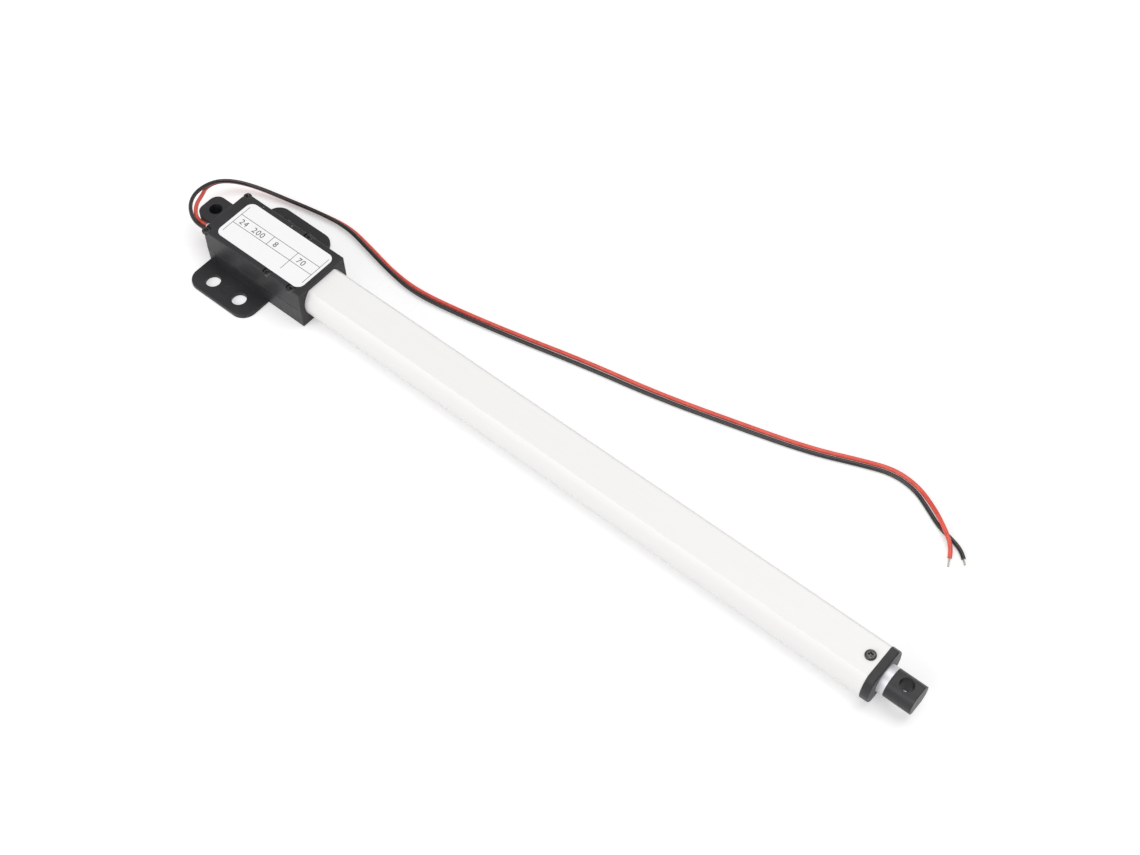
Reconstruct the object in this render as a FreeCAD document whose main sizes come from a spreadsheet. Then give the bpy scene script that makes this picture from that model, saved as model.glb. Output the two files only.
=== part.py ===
import FreeCAD, Part
import math
import os

import Sketcher

# Mini electric linear actuator with a 200 mm stroke, drawn retracted, in millimetres.
# The origin is the rear pin hole, +X is the way the rod comes out and +Z is up.
# The actuator's own axis runs along X through the origin.

Vector = FreeCAD.Vector
doc = FreeCAD.newDocument("linear_actuator")

# Driving dimensions
DIMENSIONS = [
    ("pin_distance", 258.0, "rear pin hole to rod end hole, rod in"),
    ("stroke", 200.0, "travel of the rod"),
    ("housing_start", 4.4, "pin hole to the rear face of the housing"),
    ("housing_length", 41.3, "length of the gear housing"),
    ("housing_width", 20.0, "width of the gear housing"),
    ("housing_height", 15.0, "height of the gear housing"),
    ("parting_drop", 0.5, "parting plane below the axis"),
    ("wall_lean", 0.25, "how far each side wall leans in"),
    ("bay_gap", 0.1, "room behind the motor's terminals"),
    ("front_wall", 1.3, "part of the front wall that belongs to the cover"),
    ("rear_corner", 1.4, "radius of the two rear corners"),
    ("top_edge", 0.4, "rounding of the cover's upper edges"),
    ("lug_reach", 4.3, "pin hole to the end of the rear lug"),
    ("lug_width", 9.6, "width of the rear lug"),
    ("lug_thickness", 10.0, "height of the rear lug"),
    ("lug_corner", 3.0, "radius of the lug's corners"),
    ("lug_root", 1.2, "how far the lug runs into the housing"),
    ("pin_hole", 4.2, "diameter of the two pin holes"),
    ("ear_start", 5.0, "pin hole to the rear edge of the ears"),
    ("ear_length", 25.6, "length of the mounting ears"),
    ("ear_span", 41.0, "width over both ears"),
    ("ear_thickness", 1.3, "thickness of the ears"),
    ("ear_corner", 4.6, "corner radius of the ears"),
    ("ear_hole", 4.8, "diameter of the ear holes"),
    ("ear_edge", 0.35, "rounding of the ears' upper edges"),
    ("ejector_mark", 3.0, "diameter of the ejector marks on the ears"),
    ("ejector_depth", 0.06, "depth of the ejector marks"),
    ("line_chamfer", 0.12, "chamfer on both sides of the parting line"),
    ("ear_hole_start", 12.15, "pin hole to the first ear holes"),
    ("ear_hole_pitch", 11.3, "ear holes along the actuator"),
    ("ear_hole_span", 30.8, "ear holes across the actuator"),
    ("rear_screw", 1.0, "rear cover screws from the rear face"),
    ("middle_screw", 27.4, "middle cover screws from the rear face"),
    ("front_screw", 4.0, "front cover screw from the front face"),
    ("screw_span", 17.9, "cover screws across"),
    ("screw_shank", 1.5, "diameter of a cover screw"),
    ("screw_length", 8.0, "length of a cover screw under its head"),
    ("head_diameter", 2.8, "diameter of a screw head"),
    ("head_height", 0.9, "height of a screw head"),
    ("head_sink", 0.35, "screw head below the cover's top"),
    ("head_room", 0.1, "gap round a sunk screw head"),
    ("shank_room", 0.15, "gap round a screw in the cover"),
    ("tip_room", 0.3, "gap under the tip of a screw"),
    ("exit_height", 3.8, "axis up to the middle of the wires' slot"),
    ("exit_outer", 7.65, "axis to the outer side of the wires' slot"),
    ("exit_inner", 4.9, "axis to the inner side of the wires' slot"),
    ("exit_slot", 1.7, "height of the wires' slot"),
    ("mound_reach", 1.2, "how far the sealant stands out of the housing"),
    ("mound_side", 0.6, "sealant beyond the outer side of the slot"),
    ("mound_width", 3.4, "width of the sealant"),
    ("mound_drop", 0.65, "sealant below the slot"),
    ("mound_height", 3.6, "height of the sealant"),
    ("mound_round", 0.5, "rounding of the sealant"),
    ("label_start", 3.9, "label from the rear face"),
    ("label_length", 35.8, "length of the label"),
    ("label_width", 15.8, "width of the label"),
    ("label_corner", 2.4, "corner radius of the label"),
    ("label_thickness", 0.12, "thickness of the label"),
    ("label_sink", 0.15, "depth of the label's recess"),
    ("tube_seat", 12.3, "length of tube held in the housing"),
    ("shoulder", 3.5, "bearing stop to the rear end of the tube"),
    ("tube_end", 249.0, "pin hole to the front end of the tube"),
    ("tube_diameter", 16.0, "outer diameter of the tube's round sides"),
    ("tube_flats", 11.6, "height over the tube's two flats"),
    ("tube_wall", 0.95, "wall of the tube"),
    ("cap_length", 2.6, "length of the front cap outside the tube"),
    ("cap_proud", 0.12, "how far the cap stands over the tube"),
    ("cap_edge", 0.45, "rounding of the cap's front edge"),
    ("spigot_length", 6.5, "length of the cap's spigot in the tube"),
    ("cap_screw_back", 2.9, "cap screw behind the end of the tube"),
    ("cap_head", 3.3, "head diameter of the cap screw"),
    ("cap_head_height", 0.75, "head height of the cap screw"),
    ("cap_shank", 1.9, "diameter of the cap screw"),
    ("cap_screw_length", 1.2, "length of the cap screw under its head"),
    ("rod_diameter", 8.8, "outer diameter of the rod"),
    ("rod_bore", 6.4, "bore of the rod"),
    ("rod_end_back", 4.2, "rod end behind its hole"),
    ("rod_end_front", 4.4, "rod end in front of its hole"),
    ("rod_end_flats", 7.52, "height over the rod end's flats"),
    ("rod_end_shank", 6.0, "length of the rod end inside the rod"),
    ("seal_length", 1.2, "length of the rod seal"),
    ("seal_depth", 1.15, "how deep the seal sits in the cap"),
    ("seal_back", 0.7, "seal behind the cap's front face"),
    ("seal_play", 0.03, "gap between the seal and the rod"),
    ("seal_chamfer", 0.3, "chamfer of the seal"),
    ("nut_length", 8.0, "length of the drive nut"),
    ("nut_socket", 4.0, "length of rod held in the nut"),
    ("nut_gap", 0.5, "nut in front of the bearing stop"),
    ("lead_screw_diameter", 5.0, "outer diameter of the lead screw"),
    ("journal", 4.0, "diameter of the screw where the bearing sits"),
    ("tail_journal", 1.1, "diameter of the screw's tail and of the arbor"),
    ("screw_overrun", 2.0, "screw beyond the nut when the rod is out"),
    ("screw_chamfer", 0.5, "chamfer at the screw's front end"),
    ("collar", 0.7, "collar of the screw over its journal"),
    ("output_hub", 3.0, "diameter of the screw in the output gear"),
    ("bearing_diameter", 9.0, "outer diameter of the bearing"),
    ("bearing_width", 2.5, "width of the bearing"),
    ("ball", 1.2, "diameter of a bearing ball"),
    ("ball_count", 8, "number of bearing balls"),
    ("groove_play", 0.03, "groove of a ring beyond the ball"),
    ("ring_gap", 1.0, "gap between the two bearing rings"),
    ("cage_wall", 0.5, "wall of the bearing cage"),
    ("cage_length", 1.7, "length of the bearing cage"),
    ("bearing_stop", 0.4, "length of the housing's stop in front of the bearing"),
    ("stop_lip", 1.6, "bore of the stop over the journal"),
    ("web", 0.4, "web between the gears and the bearing"),
    ("web_lip", 1.2, "bore of the web over the journal"),
    ("motor_diameter", 12.0, "diameter of the motor"),
    ("motor_flats", 10.0, "height over the motor's flats"),
    ("motor_length", 12.4, "length of the motor's can"),
    ("motor_cap", 0.8, "thickness of the motor's end cap"),
    ("motor_cap_inset", 0.2, "end cap inside the can's outline"),
    ("motor_shaft", 1.0, "diameter of the motor's shaft"),
    ("shaft_inset", 0.3, "rear end of the shaft inside the can"),
    ("terminal", 1.4, "length of a motor terminal"),
    ("terminal_thickness", 0.3, "thickness of a motor terminal"),
    ("terminal_width", 1.6, "width of a motor terminal"),
    ("terminal_span", 6.4, "distance between the motor's terminals"),
    ("plate", 0.8, "thickness of a gear plate"),
    ("plate_height", 9.2, "height of a gear plate"),
    ("plate_before", 4.0, "gear plate on the screw's side of the axis"),
    ("plate_beyond", 3.7, "gear plate beyond the arbor"),
    ("plate_corner", 0.5, "chamfer of a gear plate's corners"),
    ("pillar", 1.1, "diameter of a pillar"),
    ("pillar_inset", 0.8, "pillar from the plate's edges"),
    ("pinion_opening", 2.2, "hole for the motor's shaft in the rear plate"),
    ("journal_room", 0.1, "gap round the journal in the front plate"),
    ("bore_play", 0.03, "gap between a gear and its shaft"),
    ("gear_module", 0.25, "module of the gears"),
    ("wheel_teeth", 26, "teeth of each wheel"),
    ("pinion_teeth", 10, "teeth of each pinion"),
    ("pressure_angle", 25.0, "pressure angle of the teeth in degrees"),
    ("tooth_shift", 0.3, "profile shift of the pinions in modules"),
    ("backlash", 0.05, "play between the teeth"),
    ("gear_face", 0.85, "face width of the gears"),
    ("gear_gap", 0.2, "gap between two gears side by side"),
    ("board_thickness", 0.8, "thickness of the limit switch board"),
    ("board_width", 4.2, "width of the limit switch board"),
    ("switch_length", 2.8, "length of a limit switch"),
    ("switch_depth", 1.05, "depth of a limit switch"),
    ("switch_height", 3.2, "height of a limit switch"),
    ("switch_start", 0.2, "rear switch in front of the bearing's rear face"),
    ("switch_room", 0.1, "gap at both ends of the rear switch"),
    ("switch_late", 0.4, "front switch beyond the end of the travel"),
    ("board_inset", 1.2, "board's inner face from the tube's wall"),
    ("board_play", 0.3, "board in front of the gear bay"),
    ("board_short", 0.7, "board behind the cap's spigot"),
    ("wire_diameter", 1.3, "outer diameter of one wire"),
    ("strand_diameter", 0.6, "diameter of a wire's bare tip"),
    ("room", 0.05, "clearance between pieces that slide or are pushed together"),
    ("seat_room", 0.02, "clearance of a tight seat"),
]

sheet = doc.addObject("Spreadsheet::Sheet", "dims")
for row, (alias, value, note) in enumerate(DIMENSIONS, start=1):
    sheet.set("A%d" % row, note)
    sheet.set("B%d" % row, str(value))
    sheet.setAlias("B%d" % row, alias)
doc.recompute()


def size(text):
    """A length in millimetres from an expression over the sheet's names."""
    value = sheet.evalExpression(text)
    return float(getattr(value, "Value", value))


def cells(text):
    """The same expression, written for an object outside the sheet."""
    for alias in sorted(ALIASES, key=len, reverse=True):
        text = text.replace("#" + alias, "dims." + alias)
    return text


ALIASES = [alias for alias, value, note in DIMENSIONS]


def named(text):
    return size(text.replace("#", ""))


# Places along the axis and heights, worked out from the driving dimensions
REAR = "#housing_start"
FRONT = "(#housing_start + #housing_length)"
SEAM = "(#housing_start + #housing_length - #front_wall)"
FLOOR = "(-#housing_height / 2)"
TOP = "(#housing_height / 2)"
PARTING = "(-#parting_drop)"
HALF = "(#housing_width / 2)"
TUBE_START = "(#housing_start + #housing_length - #tube_seat)"
STOP_END = "(%s - #shoulder)" % TUBE_START
NUT_START = "(%s + #nut_gap)" % STOP_END
BEARING_END = "(%s - #bearing_stop)" % STOP_END
BEARING_START = "(%s - #bearing_width)" % BEARING_END
BAY_END = "(%s - #web)" % BEARING_START
PLATE_FRONT = "(%s - #plate)" % BAY_END
LAYER = "(#gear_face + #gear_gap)"
LAYERS_START = "(%s - 4 * %s)" % (PLATE_FRONT, LAYER)
PLATE_REAR = "(%s - #gear_gap - #plate)" % LAYERS_START
CAN_START = "(%s - #motor_length)" % PLATE_REAR
MOTOR_CAP_START = "(%s - #motor_cap)" % CAN_START
BAY_START = "(%s - #terminal - #bay_gap)" % MOTOR_CAP_START
NUT_END = "(%s + #nut_length)" % NUT_START
SCREW_END = "(%s + #stroke + #screw_overrun)" % NUT_END
SPIGOT_START = "(#tube_end - #spigot_length)"
CAP_FRONT = "(#tube_end + #cap_length)"
ROD_START = "(%s - #nut_socket)" % NUT_END
ROD_FRONT = "(#pin_distance - #rod_end_back)"
INNER_RADIUS = "(#tube_diameter / 2 - #tube_wall)"
INNER_FLAT = "(#tube_flats / 2 - #tube_wall)"
CENTRES = "(#gear_module * (#wheel_teeth + #pinion_teeth) / 2)"
BOARD_INNER = "(%s - #board_inset)" % INNER_RADIUS
SWITCH_START = "(%s + #switch_start)" % BEARING_START
BOARD_START = "(%s + #board_play)" % BAY_END
BOARD_END = "(%s - #board_short)" % SPIGOT_START
EXIT_LOW = "(-#exit_outer)"
EXIT_HIGH = "(-#exit_inner)"

parts = []


def keep(node, label):
    """Name a finished sub-part and list it for writing."""
    node.Label = label
    parts.append(node)
    return node


def origin_plane(body, role):
    for feature in body.Origin.OriginFeatures:
        if feature.Role == role:
            return feature
    raise ValueError(role)


def new_body(label):
    return keep(doc.addObject("PartDesign::Body", label), label)


def new_sketch(body, role, offset=None):
    sketch = body.newObject("Sketcher::SketchObject", body.Label + "_sketch")
    sketch.AttachmentSupport = [(origin_plane(body, role), "")]
    sketch.MapMode = "FlatFace"
    if offset is not None:
        sketch.setExpression("AttachmentOffset.Base.z", cells(offset))
    return sketch


def tie(sketch, kind, arguments, text):
    """Add one driving constraint and bind it to the sheet."""
    index = sketch.addConstraint(Sketcher.Constraint(kind, *arguments, named(text)))
    sketch.setExpression("Constraints[%d]" % index, cells(text))


def place_point(sketch, edge, end, x_text, y_text):
    """Tie a point of the sketch to the origin by its two coordinates."""
    if x_text == "0":
        sketch.addConstraint(Sketcher.Constraint("PointOnObject", edge, end, -2))
    else:
        tie(sketch, "DistanceX", (-1, 1, edge, end), x_text)
    if y_text == "0":
        sketch.addConstraint(Sketcher.Constraint("PointOnObject", edge, end, -1))
    else:
        tie(sketch, "DistanceY", (-1, 1, edge, end), y_text)


def polygon(sketch, corners):
    """A closed outline of straight edges, each corner tied to the sheet."""
    start = sketch.GeometryCount
    count = len(corners)
    points = [Vector(named(x), named(y), 0) for x, y in corners]
    for index in range(count):
        line = Part.LineSegment(points[index], points[(index + 1) % count])
        sketch.addGeometry(line, False)
    for index in range(count):
        following = start + (index + 1) % count
        sketch.addConstraint(Sketcher.Constraint("Coincident", start + index, 2, following, 1))
    for index, (x_text, y_text) in enumerate(corners):
        place_point(sketch, start + index, 1, x_text, y_text)


def rectangle(sketch, x_low, x_high, y_low, y_high):
    polygon(sketch, [(x_low, y_low), (x_high, y_low), (x_high, y_high), (x_low, y_high)])


def circle(sketch, x_text, y_text, radius_text):
    centre = Vector(named(x_text), named(y_text), 0)
    edge = sketch.addGeometry(Part.Circle(centre, Vector(0, 0, 1), named(radius_text)), False)
    tie(sketch, "Radius", (edge,), radius_text)
    place_point(sketch, edge, 3, x_text, y_text)


def flatted(sketch, radius_text, flat_text):
    """A circle round the origin, cut off flat above and below."""
    radius = named(radius_text)
    flat = named(flat_text)
    reach = math.sqrt(radius * radius - flat * flat)
    angle = math.asin(flat / radius)
    start = sketch.GeometryCount
    round_edge = Part.Circle(Vector(0, 0, 0), Vector(0, 0, 1), radius)
    sketch.addGeometry(Part.ArcOfCircle(round_edge, -angle, angle), False)
    sketch.addGeometry(Part.LineSegment(Vector(reach, flat, 0), Vector(-reach, flat, 0)), False)
    sketch.addGeometry(Part.ArcOfCircle(round_edge, math.pi - angle, math.pi + angle), False)
    sketch.addGeometry(Part.LineSegment(Vector(-reach, -flat, 0), Vector(reach, -flat, 0)), False)
    for first, first_end, second, second_end in ((0, 2, 1, 1), (1, 2, 2, 1), (2, 2, 3, 1), (3, 2, 0, 1)):
        ends = (start + first, first_end, start + second, second_end)
        sketch.addConstraint(Sketcher.Constraint("Coincident", *ends))
    for arc in (0, 2):
        sketch.addConstraint(Sketcher.Constraint("Coincident", start + arc, 3, -1, 1))
    for line in (1, 3):
        sketch.addConstraint(Sketcher.Constraint("Horizontal", start + line))
    tie(sketch, "Radius", (start,), radius_text)
    tie(sketch, "DistanceY", (-1, 1, start + 1, 1), flat_text)
    tie(sketch, "DistanceY", (start + 3, 1, -1, 1), flat_text)


def feature(body, kind, sketch, length_text=None, backwards=False):
    """A pad or pocket of a sketch over a bound length."""
    made = body.newObject("PartDesign::" + kind, body.Label + "_" + kind.lower())
    made.Profile = sketch
    if length_text is not None:
        made.Length = named(length_text)
        made.setExpression("Length", cells(length_text))
    made.Reversed = backwards
    sketch.Visibility = False
    return made


def pad(body, sketch, length_text, backwards=False):
    return feature(body, "Pad", sketch, length_text, backwards)


def pocket(body, sketch, length_text, backwards=False):
    """Cut the sketch away and make sure that something was cut."""
    doc.recompute()
    before = body.Shape.Volume
    made = feature(body, "Pocket", sketch, length_text, backwards)
    doc.recompute()
    if before - body.Shape.Volume < 1e-6:
        raise RuntimeError("a pocket of %s cuts nothing" % body.Label)
    return made


def turned(label, corners):
    """A turned piece: corners of its half section as (x, radius)."""
    body = new_body(label)
    sketch = new_sketch(body, "XZ_Plane")
    polygon(sketch, corners)
    revolution = body.newObject("PartDesign::Revolution", label + "_revolution")
    revolution.Profile = sketch
    revolution.ReferenceAxis = (sketch, ["H_Axis"])
    revolution.Angle = 360.0
    return body


def block(label, x_low, x_high, y_low, y_high, z_low, z_high):
    """A plain box with all six faces bound to the sheet."""
    box = doc.addObject("Part::Box", label)
    for name, low, high in (("Length", x_low, x_high), ("Width", y_low, y_high), ("Height", z_low, z_high)):
        box.setExpression(name, cells("%s - (%s)" % (high, low)))
    for axis, low in (("x", x_low), ("y", y_low), ("z", z_low)):
        box.setExpression("Placement.Base." + axis, cells(low))
    return box


def edges_where(shape, test):
    """Names of the edges whose middle point and direction pass the test."""
    names = []
    for number, edge in enumerate(shape.Edges, start=1):
        box = edge.BoundBox
        if test(box):
            names.append("Edge%d" % number)
    return names


def upright(x, y, near=0.01):
    """Test for an upright edge at the given place."""
    def test(box):
        flat = box.XLength < near and box.YLength < 0.5
        at_x = abs(box.XMin - x) < near
        at_y = abs(abs(box.Center.y) - y) < 0.3
        return flat and at_x and at_y and box.ZLength > 0.5
    return test


def fillet(body, test, radius_text):
    doc.recompute()
    base = body.Tip
    names = edges_where(base.Shape, test)
    if not names:
        raise RuntimeError("no edges to round on %s" % body.Label)
    made = body.newObject("PartDesign::Fillet", body.Label + "_fillet")
    made.Base = (base, names)
    made.Radius = named(radius_text)
    made.setExpression("Radius", cells(radius_text))
    doc.recompute()
    return made


def chamfer(body, test, size_text):
    doc.recompute()
    base = body.Tip
    names = edges_where(base.Shape, test)
    if not names:
        raise RuntimeError("no edges to chamfer on %s" % body.Label)
    made = body.newObject("PartDesign::Chamfer", body.Label + "_chamfer")
    made.Base = (base, names)
    made.Size = named(size_text)
    made.setExpression("Size", cells(size_text))
    doc.recompute()
    return made


def along_parting(box):
    """Edges round the parting plane, apart from the one at the front wall."""
    level = abs(box.ZMin - named(PARTING)) < 0.01 and box.ZLength < 0.01
    return level and box.XMin < named(SEAM) - 0.1


def along_parting_sides(box):
    """The two long edges of the parting plane."""
    return along_parting(box) and box.XLength > 5


def ear_top_edge(box):
    """Edges round the top of the ears."""
    level = abs(box.ZMin - named("%s + #ear_thickness" % FLOOR)) < 0.01 and box.ZLength < 0.01
    return level and abs(box.Center.y) > named(HALF) + 0.5


def cover_screw_places():
    """Where the five cover screws stand: two pairs and one at the front."""
    side = named("#screw_span / 2")
    rear = named("#housing_start + #rear_screw")
    middle = named("#housing_start + #middle_screw")
    front = named("%s - #front_screw" % FRONT)
    return [(rear, side), (rear, -side), (middle, side), (middle, -side), (front, -side)]


SCREW_X = [
    "(#housing_start + #rear_screw)",
    "(#housing_start + #middle_screw)",
    "(%s - #front_screw)" % FRONT,
]
SCREW_Y = "(#screw_span / 2)"


def cover_screw_circles(sketch, radius_text):
    """The five screw circles, seen along Z."""
    for place in SCREW_X:
        circle(sketch, place, "(-%s)" % SCREW_Y, radius_text)
    for place in SCREW_X[:2]:
        circle(sketch, place, SCREW_Y, radius_text)


def inner_room(body, direction):
    """Hollow one half for the motor, gears, bearing, nut, board and tube."""
    upward = direction > 0
    cavities = [
        (BAY_START, "(%s + #room)" % PLATE_REAR, "(-#motor_diameter / 2 - #room)",
         "(#motor_diameter / 2 + #room)", "(#motor_flats / 2 + #room)"),
        (PLATE_REAR, "(%s + #room)" % BAY_END, "(-#plate_before - #room)",
         "(%s + #plate_beyond + #room)" % CENTRES, "(#plate_height / 2 + #room)"),
        (BAY_END, "(%s + #room)" % TUBE_START, "(%s - #room)" % BOARD_INNER,
         "(%s + #board_thickness + #room)" % BOARD_INNER, "(#board_width / 2 + #room)"),
        ("(%s - #switch_room)" % SWITCH_START, "(%s + #switch_length + #switch_room)" % SWITCH_START,
         "(%s - #switch_depth - #room)" % BOARD_INNER, BOARD_INNER, "(#switch_height / 2 + #room)"),
    ]
    for x_low, x_high, y_low, y_high, reach in cavities:
        sketch = new_sketch(body, "XY_Plane", PARTING)
        rectangle(sketch, x_low, x_high, y_low, y_high)
        depth = "(%s + #parting_drop)" % reach if upward else "(%s - #parting_drop)" % reach
        pocket(body, sketch, depth, upward)
    rounds = [
        (BAY_END, "(#web + #room)", "(#journal / 2 + #web_lip)"),
        (BEARING_START, "#bearing_width", "(#bearing_diameter / 2 + #seat_room)"),
        (BEARING_END, "(#bearing_stop + #room)", "(#journal / 2 + #stop_lip)"),
    ]
    for start, length, radius in rounds:
        sketch = new_sketch(body, "YZ_Plane", start)
        circle(sketch, "0", "0", radius)
        pocket(body, sketch, length, True)
    sketch = new_sketch(body, "YZ_Plane", STOP_END)
    flatted(sketch, INNER_RADIUS, INNER_FLAT)
    pocket(body, sketch, "(%s - %s + #room)" % (TUBE_START, STOP_END), True)
    sketch = new_sketch(body, "YZ_Plane", TUBE_START)
    flatted(sketch, "(#tube_diameter / 2 + #seat_room)", "(#tube_flats / 2 + #seat_room)")
    pocket(body, sketch, "(#tube_seat + 1)", True)


def lug_half(body, length_text, backwards):
    sketch = new_sketch(body, "XY_Plane", PARTING)
    rectangle(sketch, "(-#lug_reach)", "(#housing_start + #lug_root)",
              "(-#lug_width / 2)", "(#lug_width / 2)")
    pad(body, sketch, length_text, backwards)
    fillet(body, upright(-named("#lug_reach"), named("#lug_width / 2")), "#lug_corner")


def rear_pin_hole(body):
    sketch = new_sketch(body, "XY_Plane", TOP)
    circle(sketch, "0", "0", "(#pin_hole / 2)")
    pocket(body, sketch, "#housing_height")


def make_housing_lower():
    body = new_body("housing_lower")
    sketch = new_sketch(body, "YZ_Plane", REAR)
    low_side = "(%s - #wall_lean)" % HALF
    polygon(sketch, [
        ("(-%s)" % low_side, FLOOR), (low_side, FLOOR),
        (HALF, PARTING), ("(-%s)" % HALF, PARTING),
    ])
    pad(body, sketch, "(#housing_length - #front_wall)")
    fillet(body, upright(named(REAR), named(HALF)), "#rear_corner")
    chamfer(body, along_parting, "#line_chamfer")
    chamfer(body, upright(named(SEAM), named(HALF)), "#line_chamfer")
    lug_half(body, "(#lug_thickness / 2 - #parting_drop)", True)
    sketch = new_sketch(body, "XY_Plane", FLOOR)
    rectangle(sketch, "#ear_start", "(#ear_start + #ear_length)", "(-#ear_span / 2)", "(#ear_span / 2)")
    pad(body, sketch, "#ear_thickness")
    for place in ("#ear_start", "(#ear_start + #ear_length)"):
        fillet(body, upright(named(place), named("#ear_span / 2")), "#ear_corner")
    fillet(body, ear_top_edge, "#ear_edge")
    sketch = new_sketch(body, "XY_Plane", "(%s + #ear_thickness)" % FLOOR)
    for side in ("(#ear_hole_span / 2)", "(-#ear_hole_span / 2)"):
        circle(sketch, "(#ear_hole_start + #ear_hole_pitch / 2)", side, "(#ejector_mark / 2)")
    pocket(body, sketch, "#ejector_depth")
    inner_room(body, -1)
    rear_pin_hole(body)
    sketch = new_sketch(body, "XY_Plane", FLOOR)
    for x_text in ("#ear_hole_start", "(#ear_hole_start + #ear_hole_pitch)"):
        for side in ("(#ear_hole_span / 2)", "(-#ear_hole_span / 2)"):
            circle(sketch, x_text, side, "(#ear_hole / 2)")
    pocket(body, sketch, "(#ear_thickness + 1)", True)
    sketch = new_sketch(body, "XY_Plane", PARTING)
    cover_screw_circles(sketch, "(#screw_shank / 2 + #seat_room)")
    depth = "(#screw_length + #head_sink + #head_height - %s - #parting_drop + #tip_room)" % TOP
    pocket(body, sketch, depth, False)
    return body


def make_housing_cover():
    body = new_body("housing_cover")
    high_side = "(%s - #wall_lean)" % HALF
    sketch = new_sketch(body, "YZ_Plane", REAR)
    polygon(sketch, [
        ("(-%s)" % HALF, PARTING), (HALF, PARTING),
        (high_side, TOP), ("(-%s)" % high_side, TOP),
    ])
    pad(body, sketch, "(#housing_length - #front_wall)")
    chamfer(body, along_parting_sides, "#line_chamfer")
    sketch = new_sketch(body, "YZ_Plane", SEAM)
    polygon(sketch, [("(-%s)" % high_side, FLOOR), (high_side, FLOOR), (HALF, PARTING),
                     (high_side, TOP), ("(-%s)" % high_side, TOP), ("(-%s)" % HALF, PARTING)])
    pad(body, sketch, "#front_wall")
    fillet(body, upright(named(REAR), named(HALF)), "#rear_corner")
    top = named(TOP)
    fillet(body, lambda box: box.ZMin > top - 0.01, "#top_edge")
    lug_half(body, "(#lug_thickness / 2 + #parting_drop)", False)
    inner_room(body, 1)
    rear_pin_hole(body)
    sketch = new_sketch(body, "XY_Plane", TOP)
    label_low = "(#housing_start + #label_start - #room)"
    label_high = "(#housing_start + #label_start + #label_length + #room)"
    label_side = "(#label_width / 2 + #room)"
    rectangle(sketch, label_low, label_high, "(-%s)" % label_side, label_side)
    pocket(body, sketch, "#label_sink")
    for place in (label_low, label_high):
        fillet(body, upright_at_top(named(place), named(label_side)), "(#label_corner + #room)")
    sketch = new_sketch(body, "XY_Plane", TOP)
    cover_screw_circles(sketch, "(#head_diameter / 2 + #head_room)")
    pocket(body, sketch, "(#head_sink + #head_height)")
    sketch = new_sketch(body, "XY_Plane", TOP)
    cover_screw_circles(sketch, "(#screw_shank / 2 + #shank_room)")
    pocket(body, sketch, "(%s + #parting_drop)" % TOP)
    # The wires leave through a slot in the rear wall, beside the lug
    sketch = new_sketch(body, "YZ_Plane", REAR)
    rectangle(sketch, EXIT_LOW, EXIT_HIGH,
              "(#exit_height - #exit_slot / 2)", "(#exit_height + #exit_slot / 2)")
    pocket(body, sketch, "(%s - %s)" % (MOTOR_CAP_START, REAR), True)
    return body


def upright_at_top(x, y):
    def test(box):
        narrow = box.XLength < 0.01 and box.YLength < 0.01
        high = box.ZMax > named(TOP) - 0.01 and 0.01 < box.ZLength < 1.0
        return narrow and high and abs(box.XMin - x) < 0.01 and abs(abs(box.YMin) - y) < 0.01
    return test


def make_exit_sealant():
    """Sealant that fills the slot and stands out of it as a low mound."""
    room = named("#seat_room")
    slot = named("#exit_slot")
    foot = named("#exit_height") - slot / 2
    low = named(EXIT_LOW) + room
    high = named(EXIT_HIGH) - room
    rear = named(REAR)
    reach = named("#mound_reach")
    plug = Part.makeBox(named("%s - #bay_gap" % BAY_START) - rear, high - low, slot - 2 * room,
                        Vector(rear, low, foot + room))
    corner = Vector(rear - reach, named(EXIT_LOW) - named("#mound_side"), foot - named("#mound_drop"))
    mound = Part.makeBox(reach, named("#mound_width"), named("#mound_height"), corner)
    outer = [edge for edge in mound.Edges if edge.BoundBox.XMin < corner.x + 0.01]
    mound = mound.makeFillet(named("#mound_round"), outer)
    node = keep(doc.addObject("Part::Feature", "exit_sealant"), "exit_sealant")
    node.Shape = plug.fuse(mound).removeSplitter()
    node.Placement = FreeCAD.Placement()


def screw_shape(place, head_radius, head_height, shank_radius, length):
    """A screw that stands upright with the underside of its head at place."""
    down = Vector(0, 0, -1)
    head = Part.makeCylinder(head_radius, head_height, place)
    rim = [edge for edge in head.Edges if edge.BoundBox.ZMin > place.z + 0.01]
    head = head.makeFillet(head_height * 0.3, rim)
    shank = Part.makeCylinder(shank_radius, length, place, down)
    return head.fuse(shank).removeSplitter()


def shape_node(label, shape):
    node = keep(doc.addObject("Part::Feature", label), label)
    node.Shape = shape
    node.Placement = FreeCAD.Placement()
    return node


def make_cover_screws():
    seat = named("%s - #head_sink - #head_height" % TOP)
    shapes = []
    for x, y in cover_screw_places():
        shapes.append(screw_shape(Vector(x, y, seat), named("#head_diameter / 2"), named("#head_height"),
                                  named("#screw_shank / 2"), named("#screw_length")))
    shape_node("cover_screws", Part.makeCompound(shapes))


def make_label():
    body = new_body("label")
    sketch = new_sketch(body, "XY_Plane", "(%s - #label_sink)" % TOP)
    low = "(#housing_start + #label_start)"
    high = "(#housing_start + #label_start + #label_length)"
    side = "(#label_width / 2)"
    rectangle(sketch, low, high, "(-%s)" % side, side)
    pad(body, sketch, "#label_thickness")
    for place in (low, high):
        fillet(body, corner_test(named(place), named(side)), "#label_corner")


def corner_test(x, y):
    def test(box):
        narrow = box.XLength < 0.01 and box.YLength < 0.01
        return narrow and abs(box.XMin - x) < 0.01 and abs(abs(box.YMin) - y) < 0.01
    return test


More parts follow.
